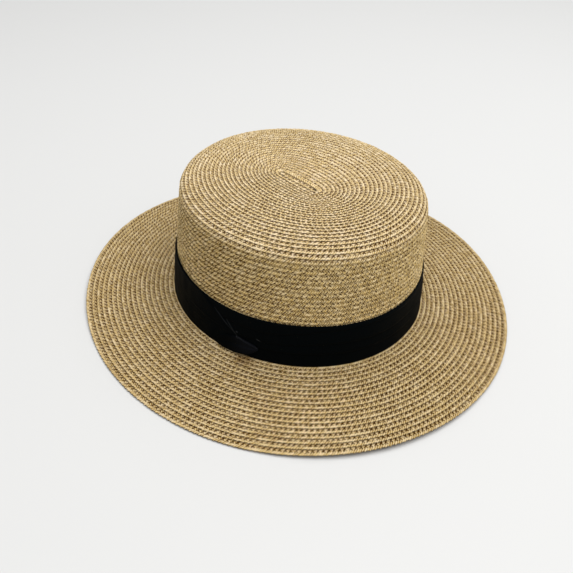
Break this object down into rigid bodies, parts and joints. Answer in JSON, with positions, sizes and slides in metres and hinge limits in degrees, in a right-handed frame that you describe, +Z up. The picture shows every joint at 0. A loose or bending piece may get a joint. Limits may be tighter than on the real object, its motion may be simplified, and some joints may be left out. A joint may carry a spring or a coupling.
{
  "type": "sun hat",
  "caption": "Straw sun hat with a flat oval crown, a wide nearly level brim and a black pleated ribbon band tied flat on the wearer's left.",
  "frame": {"origin": "centre of the hat's bounding box on the surface that the brim rests on", "axes": "+Z up through the crown, +Y towards the wearer's front along the hat's long axis, +X towards the wearer's right"},
  "size_m": [0.3114, 0.322, 0.1003],
  "materials": {
    "straw": "matte",
    "ribbon": "matte"
  },
  "bodies": {
    "root": {"crown": "straw", "brim": "straw", "hatband": "ribbon", "band_tie": "ribbon"}
  },
  "joints": []
}
